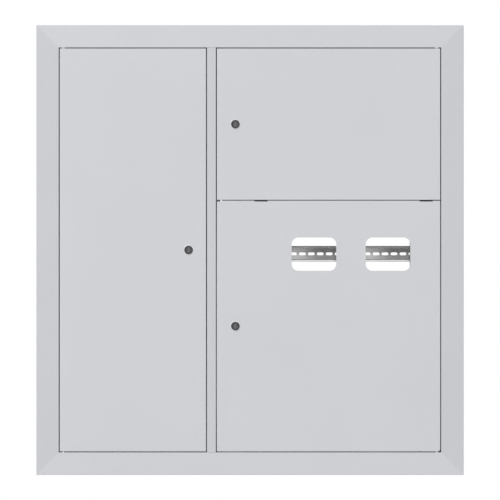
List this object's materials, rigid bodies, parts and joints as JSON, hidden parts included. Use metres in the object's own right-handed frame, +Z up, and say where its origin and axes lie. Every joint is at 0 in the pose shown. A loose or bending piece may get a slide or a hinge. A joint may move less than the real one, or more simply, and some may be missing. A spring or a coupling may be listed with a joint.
{
  "type": "floor distribution board",
  "caption": "Recessed sheet-steel riser board with a mitred face frame, lockable hinged doors, meter windows and rails for meters and modular devices.",
  "frame": {"origin": "centre of the four rear fixing holes, on the rear plane of the casing", "axes": "+Z up, +Y into the wall, +X to the right seen from the front"},
  "size_m": [0.95, 0.1422, 1],
  "materials": {
    "light_grey_paint": "satin powder coat",
    "galvanised_steel": "galvanised",
    "rail_steel": "zinc-plated",
    "bracket_steel": "black phosphated",
    "zinc_plated_steel": "bright zinc",
    "black_rubber": "matt",
    "bar_brass": "plain",
    "moulded_holder": "moulded",
    "white_nylon": "moulded",
    "clear_pane": "clear",
    "lock_casting": "black lacquered zinc",
    "lock_core_steel": "blackened"
  },
  "bodies": {
    "casing": {"frame_left": "light_grey_paint", "frame_right": "light_grey_paint", "frame_top": "light_grey_paint", "frame_bottom": "light_grey_paint", "centre_mullion": "light_grey_paint", "seam_crossbar": "light_grey_paint", "casing_left_wall": "light_grey_paint", "casing_right_wall": "light_grey_paint", "casing_top_wall": "light_grey_paint", "casing_bottom_wall": "light_grey_paint", "riser_trims": "black_rubber", "vertical_divider": "light_grey_paint", "horizontal_divider": "light_grey_paint", "grommets": "black_rubber", "right_cross_rails": "galvanised_steel", "left_cross_rails": "galvanised_steel", "meter_uprights": "galvanised_steel", "module_uprights": "galvanised_steel", "left_meter_rail": "rail_steel", "right_meter_rail": "rail_steel", "upper_module_rail": "rail_steel", "lower_module_rail": "rail_steel", "input_rail": "rail_steel", "rail_screws": "zinc_plated_steel", "module_cover": "light_grey_paint", "input_cover": "light_grey_paint", "cover_posts": "zinc_plated_steel", "panel_screws": "zinc_plated_steel", "neutral_bar": "bar_brass", "earth_bar": "bar_brass", "bar_holders": "moulded_holder", "bar_screws": "zinc_plated_steel", "low_current_plate": "galvanised_steel", "plate_screws": "zinc_plated_steel", "earth_stud": "zinc_plated_steel", "door_buffers": "black_rubber", "seam_hinge_bracket": "bracket_steel", "lower_hinge_pins": "zinc_plated_steel", "hinge_bushes": "white_nylon"},
    "left_door": {"left_door": "light_grey_paint", "left_door_stiffener": "light_grey_paint", "left_top_pin": "zinc_plated_steel", "left_lock_housing": "lock_casting", "left_lock_nut": "zinc_plated_steel"},
    "upper_door": {"upper_door": "light_grey_paint", "upper_top_pin": "zinc_plated_steel", "upper_lock_housing": "lock_casting", "upper_lock_nut": "zinc_plated_steel"},
    "lower_door": {"lower_door": "light_grey_paint", "window_panes": "clear_pane", "pane_strips": "galvanised_steel", "pane_studs": "zinc_plated_steel", "lower_lock_housing": "lock_casting", "lower_lock_nut": "zinc_plated_steel"},
    "left_lock": {"left_lock_core": "lock_core_steel", "left_lock_cam": "zinc_plated_steel"},
    "upper_lock": {"upper_lock_core": "lock_core_steel", "upper_lock_cam": "zinc_plated_steel"},
    "lower_lock": {"lower_lock_core": "lock_core_steel", "lower_lock_cam": "zinc_plated_steel"}
  },
  "joints": [
    {"name": "left_door_hinge", "type": "hinge", "parent": "casing", "child": "left_door", "pos_m": [-0.415, -0.135, 0], "axis": [0, 0, -1], "range_deg": [0, 120]},
    {"name": "upper_door_hinge", "type": "hinge", "parent": "casing", "child": "upper_door", "pos_m": [0.415, -0.135, 0.2796], "axis": [0, 0, 1], "range_deg": [0, 120]},
    {"name": "lower_door_hinge", "type": "hinge", "parent": "casing", "child": "lower_door", "pos_m": [0.415, -0.135, -0.1692], "axis": [0, 0, 1], "range_deg": [0, 120]},
    {"name": "left_lock_turn", "type": "hinge", "parent": "left_door", "child": "left_lock", "pos_m": [-0.1365, -0.13, 0], "axis": [0, -1, 0], "range_deg": [0, 90]},
    {"name": "upper_lock_turn", "type": "hinge", "parent": "upper_door", "child": "upper_lock", "pos_m": [-0.0325, -0.13, 0.2796], "axis": [0, 1, 0], "range_deg": [0, 90]},
    {"name": "lower_lock_turn", "type": "hinge", "parent": "lower_door", "child": "lower_lock", "pos_m": [-0.0325, -0.13, -0.1692], "axis": [0, 1, 0], "range_deg": [0, 90]}
  ]
}
